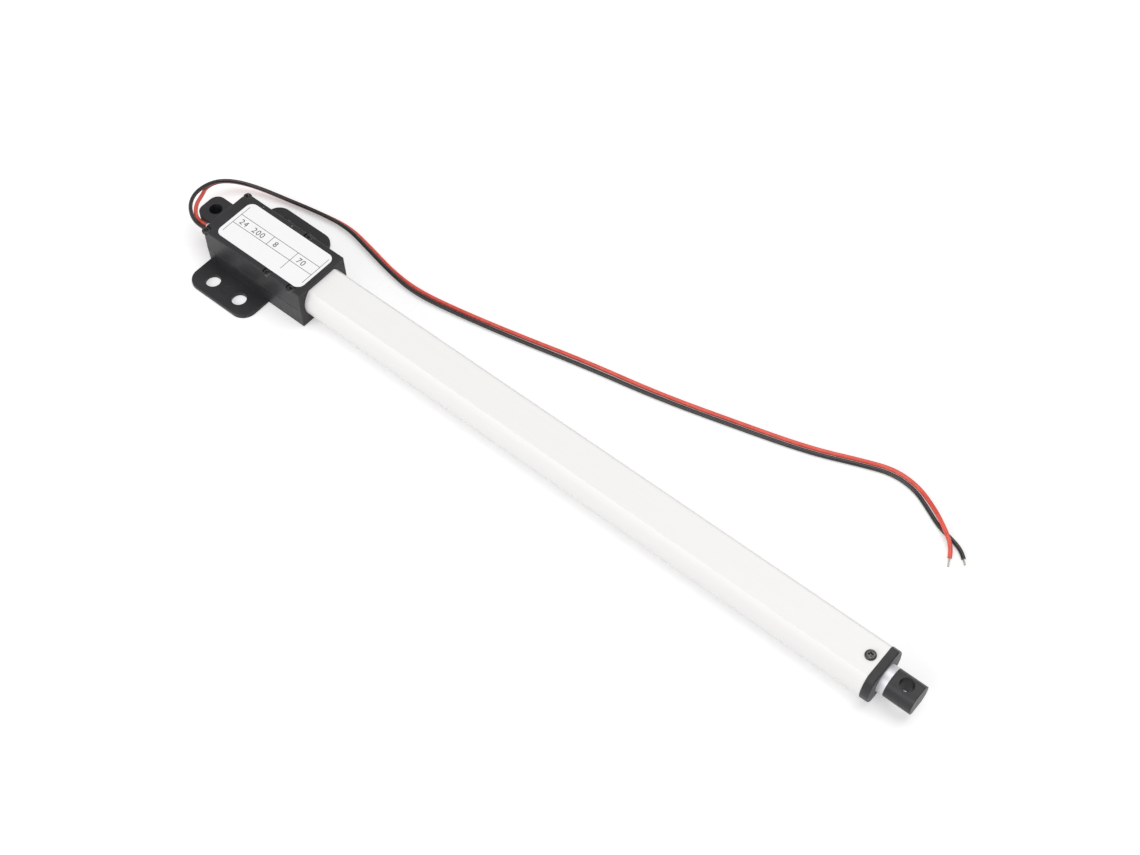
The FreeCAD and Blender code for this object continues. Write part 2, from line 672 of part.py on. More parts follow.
def make_outer_tube():
    body = new_body("outer_tube")
    sketch = new_sketch(body, "YZ_Plane", TUBE_START)
    flatted(sketch, "(#tube_diameter / 2)", "(#tube_flats / 2)")
    flatted(sketch, INNER_RADIUS, INNER_FLAT)
    pad(body, sketch, "(#tube_end - %s)" % TUBE_START)
    sketch = new_sketch(body, "XY_Plane", "(#tube_flats / 2)")
    circle(sketch, "(#tube_end - #cap_screw_back)", "0", "(#cap_shank / 2 + #room)")
    pocket(body, sketch, "(2 * #tube_wall)")


def make_front_cap():
    """Cap and spigot in one: it closes the tube and guides the rod."""
    body = new_body("front_cap")
    sketch = new_sketch(body, "YZ_Plane", "#tube_end")
    flatted(sketch, "(#tube_diameter / 2 + #cap_proud)", "(#tube_flats / 2 + #cap_proud)")
    pad(body, sketch, "#cap_length")
    front = named(CAP_FRONT)
    fillet(body, lambda box: box.XMin > front - 0.01, "#cap_edge")
    sketch = new_sketch(body, "YZ_Plane", "#tube_end")
    flatted(sketch, "(%s - #room)" % INNER_RADIUS, "(%s - #room)" % INNER_FLAT)
    pad(body, sketch, "#spigot_length", True)
    sketch = new_sketch(body, "YZ_Plane", CAP_FRONT)
    circle(sketch, "0", "0", "(#rod_diameter / 2 + #room)")
    pocket(body, sketch, "(#cap_length + #spigot_length + 1)")
    sketch = new_sketch(body, "YZ_Plane", "(%s - #seal_back)" % CAP_FRONT)
    circle(sketch, "0", "0", "(#rod_diameter / 2 + #seal_depth)")
    pocket(body, sketch, "(#seal_length + 2 * #seat_room)")
    sketch = new_sketch(body, "XY_Plane", INNER_FLAT)
    circle(sketch, "(#tube_end - #cap_screw_back)", "0", "(#cap_shank / 2 + #seat_room)")
    pocket(body, sketch, "(%s - #rod_diameter / 2)" % INNER_FLAT)


def make_cap_screw():
    place = Vector(named("#tube_end - #cap_screw_back"), 0, named("#tube_flats / 2"))
    shape = screw_shape(place, named("#cap_head / 2"), named("#cap_head_height"), named("#cap_shank / 2"),
                        named("#cap_screw_length"))
    shape_node("cap_screw", shape)


def make_rod_seal():
    """Wiper ring in the cap's inner groove."""
    end = "(%s - #seal_back - #seat_room)" % CAP_FRONT
    start = "(%s - #seal_length)" % end
    inner = "(#rod_diameter / 2 + #seal_play)"
    outer = "(#rod_diameter / 2 + #seal_depth - #seat_room)"
    turned("rod_seal", [
        (start, inner), (end, inner), (end, "(%s - #seal_chamfer)" % outer),
        ("(%s - #seal_chamfer)" % end, outer), (start, outer),
    ])


def make_rod():
    turned("rod_tube", [
        (ROD_START, "(#rod_bore / 2)"), (ROD_FRONT, "(#rod_bore / 2)"),
        (ROD_FRONT, "(#rod_diameter / 2)"), (ROD_START, "(#rod_diameter / 2)"),
    ])
    body = new_body("rod_end")
    sketch = new_sketch(body, "YZ_Plane", ROD_FRONT)
    flatted(sketch, "(#rod_diameter / 2)", "(#rod_end_flats / 2)")
    pad(body, sketch, "(#rod_end_back + #rod_end_front)")
    sketch = new_sketch(body, "YZ_Plane", ROD_FRONT)
    circle(sketch, "0", "0", "(#rod_bore / 2 - #seat_room)")
    pad(body, sketch, "#rod_end_shank", True)
    sketch = new_sketch(body, "XY_Plane", "(#rod_end_flats / 2)")
    circle(sketch, "#pin_distance", "0", "(#pin_hole / 2)")
    pocket(body, sketch, "#rod_end_flats")


def make_drive_nut():
    body = new_body("drive_nut")
    sketch = new_sketch(body, "YZ_Plane", NUT_START)
    flatted(sketch, "(%s - 2 * #room)" % INNER_RADIUS, "(%s - #room)" % INNER_FLAT)
    pad(body, sketch, "#nut_length")
    sketch = new_sketch(body, "YZ_Plane", NUT_START)
    circle(sketch, "0", "0", "(#lead_screw_diameter / 2 + #room)")
    pocket(body, sketch, "#nut_length", True)
    sketch = new_sketch(body, "YZ_Plane", ROD_START)
    circle(sketch, "0", "0", "(#rod_diameter / 2 + #seat_room)")
    pocket(body, sketch, "#nut_socket", True)
    sketch = new_sketch(body, "YZ_Plane", NUT_START)
    rectangle(sketch, "(%s - 2 * #room)" % BOARD_INNER, "(%s + 1)" % INNER_RADIUS,
              "(-%s)" % INNER_FLAT, INNER_FLAT)
    pocket(body, sketch, "#nut_length", True)


def make_lead_screw():
    tail = "(#tail_journal / 2)"
    journal = "(#journal / 2 - #seat_room)"
    thread = "(#lead_screw_diameter / 2)"
    collar = "(#journal / 2 + #collar)"
    hub = "(#output_hub / 2)"
    tail_start = "(%s + %s - #gear_gap * 0.8)" % (LAYERS_START, LAYER)
    output_start = "(%s + 3 * %s)" % (LAYERS_START, LAYER)
    output_end = "(%s + #gear_face)" % output_start
    turned("lead_screw", [
        (tail_start, "0"), (tail_start, tail), (output_start, tail), (output_start, hub),
        (output_end, hub), (output_end, journal), (BEARING_END, journal), (BEARING_END, collar),
        (STOP_END, collar), (STOP_END, thread), ("(%s - #screw_chamfer)" % SCREW_END, thread),
        (SCREW_END, "(%s - #screw_chamfer)" % thread), (SCREW_END, "0"),
    ])


def involute(angle):
    return math.tan(angle) - angle


def tooth_ring(teeth, shift, addendum, dedendum, x, length, tooth_angle, y):
    """A toothed disc along X, with one tooth pointing at tooth_angle from +Y."""
    module = named("#gear_module")
    alpha = math.radians(named("#pressure_angle"))
    pitch = module * teeth / 2
    base = pitch * math.cos(alpha)
    tip = pitch + (addendum + shift) * module
    root = pitch - (dedendum - shift) * module
    thickness = module * (math.pi / 2 + 2 * shift * math.tan(alpha)) - named("#backlash") / 2
    half_pitch = thickness / (2 * pitch) + involute(alpha)

    def half_angle(radius):
        if radius <= base:
            return half_pitch
        return half_pitch - involute(math.acos(base / radius))

    def point(radius, angle):
        return Vector(x, y + radius * math.cos(angle), radius * math.sin(angle))

    foot = max(base, root)
    middle = (foot + tip) / 2
    edges = []
    step = 2 * math.pi / teeth
    for tooth in range(teeth):
        centre = tooth_angle + tooth * step
        rising = [point(r, centre - half_angle(r)) for r in (foot, middle, tip)]
        falling = [point(r, centre + half_angle(r)) for r in (tip, middle, foot)]
        if foot > root:
            edges.append(Part.LineSegment(point(root, centre - half_pitch), rising[0]).toShape())
        edges.append(Part.Arc(*rising).toShape())
        edges.append(Part.LineSegment(rising[2], falling[0]).toShape())
        edges.append(Part.Arc(*falling).toShape())
        end = falling[2]
        if foot > root:
            edges.append(Part.LineSegment(end, point(root, centre + half_pitch)).toShape())
            end = point(root, centre + half_pitch)
        start_radius = root if foot > root else foot
        following = point(start_radius, centre + step - half_angle(start_radius))
        between = point(root, centre + step / 2)
        edges.append(Part.Arc(end, between, following).toShape())
    face = Part.Face(Part.Wire(edges))
    return face.extrude(Vector(length, 0, 0))


SHORT_ADDENDUM = 0.9
DEDENDUM = 1.15


def wheel_ring(x, gap_angle, y):
    teeth = int(named("#wheel_teeth"))
    return tooth_ring(teeth, -named("#tooth_shift"), SHORT_ADDENDUM, DEDENDUM, x, named("#gear_face"),
                      gap_angle + math.pi / teeth, y)


def pinion_ring(x, length, tooth_angle, y):
    teeth = int(named("#pinion_teeth"))
    return tooth_ring(teeth, named("#tooth_shift"), SHORT_ADDENDUM, DEDENDUM, x, length, tooth_angle, y)


def layer_start(number):
    """Rear face of gear layer 1 to 4."""
    return named(LAYERS_START) + (number - 1) * named(LAYER)


def bored(shape, x, y, radius):
    """Bore a wheel for its shaft."""
    reach = shape.BoundBox.XLength
    return shape.cut(Part.makeCylinder(radius, 3 * reach, Vector(x - reach, y, 0), Vector(1, 0, 0)))


def make_gear_train():
    """Motor pinion, three double gears and the output gear, in mesh at rest."""
    face = named("#gear_face")
    long_pinion = face + named("#gear_gap")
    arbor_y = named(CENTRES)
    bore = named("#tail_journal / 2 + #bore_play")
    towards_arbor = 0.0
    towards_screw = math.pi
    pinion = pinion_ring(layer_start(1), face, towards_arbor, 0)
    shape_node("motor_pinion", bored(pinion, layer_start(1), 0, named("#motor_shaft / 2 + #seat_room")))
    doubles = (
        ("first_gear", 1, arbor_y, towards_screw),
        ("second_gear", 2, 0.0, towards_arbor),
        ("third_gear", 3, arbor_y, towards_screw),
    )
    for label, layer, y, facing in doubles:
        start = layer_start(layer)
        wheel = wheel_ring(start, facing, y)
        pinion = pinion_ring(start + face, long_pinion, facing, y)
        shape_node(label, bored(wheel.fuse(pinion), start, y, bore))
    wheel = wheel_ring(layer_start(4), towards_arbor, 0)
    shape_node("output_gear", bored(wheel, layer_start(4), 0, named("#output_hub / 2 + #seat_room")))


def make_gear_frame():
    """Two plates, four pillars and the arbor that carry the gears."""
    low = -named("#plate_before")
    high = named("%s + #plate_beyond" % CENTRES)
    half = named("#plate_height / 2")
    thick = named("#plate")
    arbor_y = named(CENTRES)
    along = Vector(1, 0, 0)
    inset = named("#pillar_inset")
    corners = [(y, z) for y in (low + inset, high - inset) for z in (half - inset, inset - half)]
    shaft = named("#tail_journal / 2")
    rear = named(PLATE_REAR)
    front = named(PLATE_FRONT)
    openings = (named("#pinion_opening / 2"), named("#journal / 2 + #journal_room"))
    for label, x, opening in zip(("gear_plate_rear", "gear_plate_front"), (rear, front), openings):
        plate = Part.makeBox(thick, high - low, 2 * half, Vector(x, low, -half))
        corner_edges = [edge for edge in plate.Edges if edge.BoundBox.XLength > thick - 0.01]
        plate = plate.makeChamfer(named("#plate_corner"), corner_edges)
        plate = plate.cut(Part.makeCylinder(opening, thick, Vector(x, 0, 0), along))
        plate = plate.cut(Part.makeCylinder(shaft + named("#seat_room"), thick, Vector(x, arbor_y, 0), along))
        shape_node(label, plate)
    inside = front - rear - thick
    pillar = named("#pillar / 2")
    pillars = [Part.makeCylinder(pillar, inside, Vector(rear + thick, y, z), along) for y, z in corners]
    shape_node("gear_pillars", Part.makeCompound(pillars))
    shape_node("gear_arbor", Part.makeCylinder(shaft, front - rear + thick, Vector(rear, arbor_y, 0), along))


def make_motor():
    body = new_body("motor_can")
    sketch = new_sketch(body, "YZ_Plane", CAN_START)
    flatted(sketch, "(#motor_diameter / 2)", "(#motor_flats / 2)")
    pad(body, sketch, "#motor_length")
    sketch = new_sketch(body, "YZ_Plane", CAN_START)
    circle(sketch, "0", "0", "(#motor_shaft / 2 + #room)")
    pocket(body, sketch, "#motor_length", True)
    body = new_body("motor_end_cap")
    sketch = new_sketch(body, "YZ_Plane", MOTOR_CAP_START)
    flatted(sketch, "(#motor_diameter / 2 - #motor_cap_inset)", "(#motor_flats / 2 - #motor_cap_inset)")
    pad(body, sketch, "#motor_cap")
    rear = named(MOTOR_CAP_START)
    length = named("#terminal")
    thick = named("#terminal_thickness")
    wide = named("#terminal_width")
    tabs = []
    for y in (-named("#terminal_span / 2"), named("#terminal_span / 2")):
        tabs.append(Part.makeBox(length, thick, wide, Vector(rear - length, y - thick / 2, -wide / 2)))
    shape_node("motor_terminals", Part.makeCompound(tabs))
    shaft_start = "(%s + #shaft_inset)" % CAN_START
    shaft_end = "(%s + #gear_face)" % LAYERS_START
    radius = "(#motor_shaft / 2)"
    turned("motor_shaft", [(shaft_start, "0"), (shaft_start, radius), (shaft_end, radius), (shaft_end, "0")])


def make_bearing():
    """Deep groove ball bearing: two rings, a cage and its balls."""
    start = named(BEARING_START)
    width = named("#bearing_width")
    centre = start + width / 2
    ball = named("#ball / 2")
    outer = named("#bearing_diameter / 2")
    inner = named("#journal / 2")
    pitch = (outer + inner) / 2
    along = Vector(1, 0, 0)
    groove = Part.makeTorus(pitch, ball + named("#groove_play"), Vector(centre, 0, 0), along)

    def ring(high, low):
        solid = Part.makeCylinder(high, width, Vector(start, 0, 0), along)
        return solid.cut(Part.makeCylinder(low, width, Vector(start, 0, 0), along)).cut(groove)

    gap = named("#ring_gap / 2")
    shape_node("bearing_outer_ring", ring(outer, pitch + gap))
    shape_node("bearing_inner_ring", ring(pitch - gap, inner))
    count = int(named("#ball_count"))
    places = []
    for number in range(count):
        angle = 2 * math.pi * number / count
        places.append(Vector(centre, pitch * math.cos(angle), pitch * math.sin(angle)))
    shape_node("bearing_balls", Part.makeCompound([Part.makeSphere(ball, place) for place in places]))
    wall = named("#cage_wall / 2")
    length = named("#cage_length")
    cage_start = Vector(centre - length / 2, 0, 0)
    cage = Part.makeCylinder(pitch + wall, length, cage_start, along)
    cage = cage.cut(Part.makeCylinder(pitch - wall, length, cage_start, along))
    for place in places:
        cage = cage.cut(Part.makeSphere(ball + named("#room"), place))
    shape_node("bearing_cage", cage)


def make_limit_switches():
    """A narrow board in the tube's side with a switch at each end of the travel."""
    outer = "(%s + #board_thickness)" % BOARD_INNER
    half = "(#board_width / 2)"
    board = block("limit_board", BOARD_START, BOARD_END, BOARD_INNER, outer, "(-%s)" % half, half)
    keep(board, "limit_board")
    inner = "(%s - #switch_depth)" % BOARD_INNER
    front_start = "(%s + #stroke + #switch_late)" % NUT_END
    for label, start in (("limit_switch_rear", SWITCH_START), ("limit_switch_front", front_start)):
        end = "(%s + #switch_length)" % start
        switch = block(label, start, end, inner, BOARD_INNER, "(-#switch_height / 2)", "(#switch_height / 2)")
        keep(switch, label)


# Routes of the two wires: each starts at the sealant and ends where the insulation ends
BLACK_ROUTE = [
    (3.1, -7.0, 3.8), (-0.8, -7.35, 3.8), (-5.2, -5.8, 3.2), (-9.6, -2.6, 2.3),
    (-12.55, 1.93, 1.42), (-13.57, 7.35, 0.09), (-12.77, 12.35, -1.31), (-9.36, 16.69, -2.94),
    (-3.01, 20.16, -4.52), (6.55, 22.8, -5.45), (18.5, 25.4, -5.6), (29.5, 26.7, -5.7),
    (40.5, 24.45, -5.85), (52.5, 21.9, -5.95), (64.0, 20.7, -6.3), (80.0, 23.3, -6.5),
    (100.0, 27.5, -6.75), (122.0, 32.75, -6.85), (146.0, 37.4, -6.85), (170.0, 43.8, -6.85),
    (192.0, 50.0, -6.85), (207.0, 56.5, -6.85), (215.5, 59.6, -6.85), (223.5, 59.0, -6.85),
    (230.0, 55.8, -6.85), (235.5, 52.9, -6.85), (241.0, 51.6, -6.85), (244.8, 50.2, -6.85),
    (246.6, 48.4, -6.85),
]
RED_ROUTE = [
    (3.1, -5.6, 3.3), (-0.9, -5.95, 3.1), (-5.0, -4.55, 2.5), (-8.6, -0.9, 1.9),
    (-11.26, 3.84, 0.08), (-14.59, 8.58, -2.21), (-13.32, 13.0, -2.55), (-9.88, 17.33, -4.14),
    (-3.53, 20.78, -5.69), (6.4, 23.6, -6.75), (18.3, 26.2, -6.85), (29.6, 27.85, -6.85),
    (40.9, 25.75, -6.85), (52.8, 23.15, -6.85), (64.0, 22.5, -6.85), (79.8, 25.0, -6.85),
    (99.7, 29.25, -6.85), (121.7, 34.55, -6.85), (145.7, 39.0, -6.75), (169.65, 45.3, -6.6),
    (191.55, 51.35, -6.45), (206.5, 57.7, -6.3), (215.3, 60.85, -6.2), (223.8, 60.2, -6.2),
    (230.75, 57.0, -6.0), (235.0, 54.1, -5.2), (239.6, 50.8, -5.2), (242.2, 48.7, -6.5),
    (243.4, 46.2, -6.85),
]
ARC_SHARE = 0.45


def wire_solid(label, points, diameter):
    """A tube along straight runs joined by tangent arcs."""
    corners = [Vector(*point) for point in points]
    edges = []
    here = corners[0]
    radii = []
    for index in range(1, len(corners) - 1):
        before = corners[index] - corners[index - 1]
        after = corners[index + 1] - corners[index]
        turn = before.getAngle(after)
        shorter = min(before.Length, after.Length)
        back = ARC_SHARE * shorter
        radii.append(back / math.tan(turn / 2))
        incoming = Vector(before).normalize()
        outgoing = Vector(after).normalize()
        start = corners[index] - incoming * back
        end = corners[index] + outgoing * back
        inward = (outgoing - incoming).normalize()
        reach = radii[-1] / math.cos(turn / 2) - radii[-1]
        edges.append(Part.LineSegment(here, start).toShape())
        edges.append(Part.Arc(start, corners[index] + inward * reach, end).toShape())
        here = end
    edges.append(Part.LineSegment(here, corners[-1]).toShape())
    path = Part.Wire(edges)
    first = (corners[1] - corners[0]).normalize()
    section = Part.Wire([Part.Circle(corners[0], first, diameter / 2).toShape()])
    solid = path.makePipeShell([section], True, True)
    expected = math.pi * diameter * diameter / 4 * path.Length
    print(label, "length %.1f" % path.Length, "volume share %.4f" % (solid.Volume / expected),
          "smallest radius %.1f" % min(radii), [round(radius) for radius in radii])
    if abs(solid.Volume / expected - 1) > 0.01:
        raise RuntimeError("the tube of %s is not whole" % label)
    return solid


def make_wires():
    diameter = named("#wire_diameter")
    strand = named("#strand_diameter")
    for colour, route, tip in (("red", RED_ROUTE, 2.8), ("black", BLACK_ROUTE, 2.1)):
        shape_node(colour + "_wire", wire_solid(colour + "_wire", route, diameter))
        end = Vector(*route[-1])
        direction = (end - Vector(*route[-2])).normalize()
        shape_node(colour + "_wire_tip", Part.makeCylinder(strand / 2, tip, end, direction))


def write_parts():
    doc.recompute()
    for item in doc.Objects:
        if "Invalid" in item.State or "Error" in item.State:
            raise RuntimeError("%s failed: %s" % (item.Label, item.State))
    os.makedirs("parts", exist_ok=True)
    for node in parts:
        shape = node.Shape
        if shape.isNull() or not shape.isValid():
            raise RuntimeError("%s has no valid shape" % node.Label)
        shape.exportStep("parts/%s.step" % node.Label)
        print("%-20s solids %d volume %.2f" % (node.Label, len(shape.Solids), shape.Volume))
    print(len(parts), "sub-parts")


make_housing_lower()
make_housing_cover()
make_exit_sealant()
make_cover_screws()
make_label()
make_outer_tube()
make_front_cap()
make_cap_screw()
make_rod_seal()
make_rod()
make_drive_nut()
make_lead_screw()
make_gear_train()
make_gear_frame()
make_motor()
make_bearing()
make_limit_switches()
make_wires()
write_parts()
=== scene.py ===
import math
import random

import bmesh
import bpy
from mathutils import Matrix, Vector


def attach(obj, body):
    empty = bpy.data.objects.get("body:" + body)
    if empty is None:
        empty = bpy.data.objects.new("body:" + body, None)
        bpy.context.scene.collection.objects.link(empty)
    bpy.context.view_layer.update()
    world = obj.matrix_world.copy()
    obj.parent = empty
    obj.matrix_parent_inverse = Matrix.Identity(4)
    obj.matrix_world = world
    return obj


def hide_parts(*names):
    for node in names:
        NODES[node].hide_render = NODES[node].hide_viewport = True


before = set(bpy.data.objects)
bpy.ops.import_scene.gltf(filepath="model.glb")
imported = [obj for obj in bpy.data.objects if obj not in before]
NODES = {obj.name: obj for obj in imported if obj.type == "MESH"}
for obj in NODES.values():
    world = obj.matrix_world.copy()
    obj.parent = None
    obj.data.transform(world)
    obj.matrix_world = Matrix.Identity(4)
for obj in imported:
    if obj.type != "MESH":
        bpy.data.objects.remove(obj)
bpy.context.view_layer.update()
MM = 0.001


def mm(x, y, z):
    return Vector((x * MM, y * MM, z * MM))


# Camera at the photograph's place
AZIMUTH = math.radians(39.52)
ELEVATION = math.radians(55.32)
DISTANCE = 0.55006
TARGET = mm(132.51, 13.04, -7.5)
PHOTO_WIDTH = 1140
FOCAL_LENGTH = 1865.09  # in the photograph's pixels
SENSOR_WIDTH = 36

back = Vector((
    math.sin(AZIMUTH) * math.cos(ELEVATION),
    -math.cos(AZIMUTH) * math.cos(ELEVATION),
    math.sin(ELEVATION),
))
right = Vector((math.cos(AZIMUTH), math.sin(AZIMUTH), 0))
above = back.cross(right)
camera_data = bpy.data.cameras.new("camera")
camera_data.sensor_fit = "HORIZONTAL"
camera_data.sensor_width = SENSOR_WIDTH
camera_data.lens = FOCAL_LENGTH / PHOTO_WIDTH * SENSOR_WIDTH
camera_data.clip_start = 0.01
camera_data.clip_end = 20
camera = bpy.data.objects.new("camera", camera_data)
turn = Matrix((right, above, back)).transposed().to_4x4()
camera.matrix_world = Matrix.Translation(TARGET + back * DISTANCE) @ turn
bpy.context.scene.collection.objects.link(camera)
bpy.context.scene.camera = camera


# Mesh helpers
def link_object(name, data):
    item = bpy.data.objects.new(name, data)
    bpy.context.scene.collection.objects.link(item)
    return item


def add_object(name, data, material, body="base"):
    """A visible piece with its material, riding on a body."""
    item = link_object(name, data)
    data.materials.append(material)
    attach(item, body)
    return item


def mesh_of(name, build, smooth=True):
    """A mesh made by a function that fills a bmesh."""
    bm = bmesh.new()
    build(bm)
    bmesh.ops.recalc_face_normals(bm, faces=bm.faces)
    for face in bm.faces:
        face.smooth = smooth
    mesh = bpy.data.meshes.new(name)
    bm.to_mesh(mesh)
    bm.free()
    return mesh


def lathe(bm, profile, segments, placing):
    """Turn a profile of (radius, height) round Z and place it."""
    rings = []
    for radius, height in profile:
        if radius == 0:
            rings.append([bm.verts.new(placing @ Vector((0, 0, height)))])
            continue
        ring = []
        for number in range(segments):
            angle = 2 * math.pi * number / segments
            local = Vector((radius * math.cos(angle), radius * math.sin(angle), height))
            ring.append(bm.verts.new(placing @ local))
        rings.append(ring)
    for low, high in zip(rings, rings[1:]):
        for number in range(segments):
            after = (number + 1) % segments
            if len(low) == 1:
                bm.faces.new((low[0], high[number], high[after]))
            elif len(high) == 1:
                bm.faces.new((low[number], low[after], high[0]))
            else:
                bm.faces.new((low[number], low[after], high[after], high[number]))


def box_into(bm, low, high):
    """An upright box between two corners."""
    size = high - low
    placing = Matrix.Translation((low + high) / 2) @ Matrix.Diagonal((*size, 1))
    bmesh.ops.create_cube(bm, size=1, matrix=placing)


def tube_into(bm, points, radius, sides):
    """A round tube along points, closed at both ends."""
    rings = []
    for index, point in enumerate(points):
        ahead = points[min(index + 1, len(points) - 1)]
        behind = points[max(index - 1, 0)]
        along = (ahead - behind).normalized()
        across = along.cross(Vector((0, 0, 1))).normalized()
        other = across.cross(along)
        ring = []
        for number in range(sides):
            angle = 2 * math.pi * number / sides
            out = across * math.cos(angle) + other * math.sin(angle)
            ring.append(bm.verts.new(point + out * radius))
        rings.append(ring)
    for low, high in zip(rings, rings[1:]):
        for number in range(sides):
            after = (number + 1) % sides
            bm.faces.new((low[number], low[after], high[after], high[number]))
    bm.faces.new(rings[0][::-1])
    bm.faces.new(rings[-1])


# Material helpers
class Shader:
    """A principled material with short ways to add its nodes."""

    def __init__(self, name, color, roughness, metallic=0.0, specular=0.5):
        self.material = bpy.data.materials.new(name)
        self.material.use_nodes = True
        self.tree = self.material.node_tree
        self.principled = self.tree.nodes["Principled BSDF"]
        self.set("Base Color", (*color, 1))
        self.set("Roughness", roughness)
        self.set("Metallic", metallic)
        self.set("Specular IOR Level", specular)

    def set(self, socket, value):
        self.principled.inputs[socket].default_value = value

    def add(self, kind, **values):
        node = self.tree.nodes.new("ShaderNode" + kind)
        for name, value in values.items():
            if name in node.inputs:
                node.inputs[name].default_value = value
            else:
                setattr(node, name, value)
        return node

    def link(self, start, end):
        self.tree.links.new(start, end)

    def place(self, scale=(1, 1, 1)):
        """Object coordinates in millimetres, stretched by scale."""
        source = self.add("TexCoord")
        mapping = self.add("Mapping")
        mapping.inputs["Scale"].default_value = [1000 * value for value in scale]
        self.link(source.outputs["Object"], mapping.inputs["Vector"])
        return mapping.outputs["Vector"]

    def noise(self, scale, detail=3.0, stretch=(1, 1, 1)):
        node = self.add("TexNoise")
        node.inputs["Scale"].default_value = scale
        node.inputs["Detail"].default_value = detail
        self.link(self.place(stretch), node.inputs["Vector"])
        return node.outputs["Fac"]

    def span(self, fac, low, high, start=0.3, end=0.7):
        """Map a texture's value to a range of numbers."""
        node = self.add("MapRange")
        node.inputs["From Min"].default_value = start
        node.inputs["From Max"].default_value = end
        node.inputs["To Min"].default_value = low
        node.inputs["To Max"].default_value = high
        self.link(fac, node.inputs["Value"])
        return node.outputs["Result"]

    def tone(self, fac, dark, light, start=0.3, end=0.7):
        """Colour that goes from dark to light with a texture's value."""
        ramp = self.add("ValToRGB")
        ramp.color_ramp.elements[0].position = start
        ramp.color_ramp.elements[1].position = end
        ramp.color_ramp.elements[0].color = (*dark, 1)
        ramp.color_ramp.elements[1].color = (*light, 1)
        self.link(fac, ramp.inputs["Fac"])
        return ramp.outputs["Color"]

    def color(self, socket):
        self.link(socket, self.principled.inputs["Base Color"])

    def rough(self, fac, low, high):
        self.link(self.span(fac, low, high), self.principled.inputs["Roughness"])

    def bump(self, fac, height_mm, strength=1.0):
        node = self.add("Bump")
        node.inputs["Strength"].default_value = strength
        node.inputs["Distance"].default_value = height_mm * MM
        self.link(fac, node.inputs["Height"])
        present = self.principled.inputs["Normal"].links
        if present:
            self.link(present[0].from_socket, node.inputs["Normal"])
        self.link(node.outputs["Normal"], self.principled.inputs["Normal"])

    def soft_edges(self, radius_mm):
        """Rounded look for edges that the solid keeps sharp."""
        node = self.add("Bevel")
        node.samples = 6
        node.inputs["Radius"].default_value = radius_mm * MM
        self.link(node.outputs["Normal"], self.principled.inputs["Normal"])


def specks(shader, base, speck, per_mm, size):
    """Sparse pale dust on a surface."""
    node = shader.add("TexVoronoi")
    node.feature = "F1"
    node.inputs["Scale"].default_value = per_mm
    shader.link(shader.place(), node.inputs["Vector"])
    near = shader.span(node.outputs["Distance"], 1.0, 0.0, size * 0.6, size)
    rare = shader.span(node.outputs["Color"], 0.0, 1.0, 0.72, 0.74)
    both = shader.add("Math", operation="MULTIPLY")
    shader.link(near, both.inputs[0])
    shader.link(rare, both.inputs[1])
    mix = shader.add("Mix", data_type="RGBA")
    shader.link(both.outputs[0], mix.inputs["Factor"])
    shader.link(base, mix.inputs["A"])
    mix.inputs["B"].default_value = (*speck, 1)
    shader.color(mix.outputs["Result"])


def black_plastic(name, edges=True):
    """Moulded black plastic: fine grain, faint shade changes, dust and softened edges."""
    shader = Shader(name, (0.034, 0.033, 0.035), 0.38, 0.0, 0.30)
    if edges:
        shader.soft_edges(0.22)
    grain = shader.noise(5.0, 4.0)
    base = shader.tone(shader.noise(0.12, 2.0), (0.026, 0.025, 0.027), (0.036, 0.034, 0.037))
    specks(shader, base, (0.45, 0.43, 0.41), 0.45, 0.09)
    shader.rough(shader.noise(0.6, 3.0), 0.33, 0.44)
    shader.bump(grain, 0.012, 0.5)
    return shader.material


def satin_tube():
    """Pale satin coat with faint lines left along the extrusion."""
    shader = Shader("coated_aluminium", (0.88, 0.87, 0.86), 0.34, 0.0, 0.4)
    shader.soft_edges(0.25)
    lines = shader.noise(2.2, 3.0, (0.012, 1, 1))
    shader.color(shader.tone(lines, (0.870, 0.862, 0.850), (0.886, 0.879, 0.866)))
    shader.rough(shader.noise(0.3, 2.0), 0.30, 0.40)
    shader.bump(lines, 0.002, 0.2)
    return shader.material


def satin_metal():
    """Fine satin finish of the rod, a little cool."""
    shader = Shader("rod_metal", (0.80, 0.79, 0.83), 0.45, 0.35)
    rings = shader.noise(3.0, 2.0, (1, 0.2, 0.2))
    shader.color(shader.tone(rings, (0.77, 0.765, 0.80), (0.82, 0.815, 0.85)))
    shader.rough(rings, 0.40, 0.50)
    return shader.material


def plain_metal(name, dark, light, roughness, stretch=(1, 1, 1), scale=3.0, height=0.006):
    """Metal with fine machining marks."""
    shader = Shader(name, light, roughness, 1.0)
    marks = shader.noise(scale, 4.0, stretch)
    shader.color(shader.tone(marks, dark, light))
    shader.rough(marks, roughness * 0.8, roughness * 1.2)
    shader.bump(marks, height, 0.5)
    return shader.material


def plain_plastic(name, dark, light, roughness, scale=1.2, height=0.008):
    """Moulded plastic with a light grain."""
    shader = Shader(name, light, roughness)
    grain = shader.noise(scale, 3.0)
    shader.color(shader.tone(grain, dark, light))
    shader.rough(grain, roughness * 0.85, roughness * 1.15)
    shader.bump(shader.noise(scale * 5, 3.0), height, 0.4)
    return shader.material


def insulation(name, dark, light, smooth, dull):
    """Soft shiny wire insulation, slightly uneven."""
    shader = Shader(name, light, smooth)
    shader.set("Coat Weight", 0.2)
    shader.set("Coat Roughness", 0.18)
    uneven = shader.noise(0.35, 3.0)
    shader.color(shader.tone(uneven, dark, light))
    shader.rough(uneven, smooth, dull)
    shader.bump(shader.noise(2.5, 2.0), 0.02, 0.4)
    return shader.material


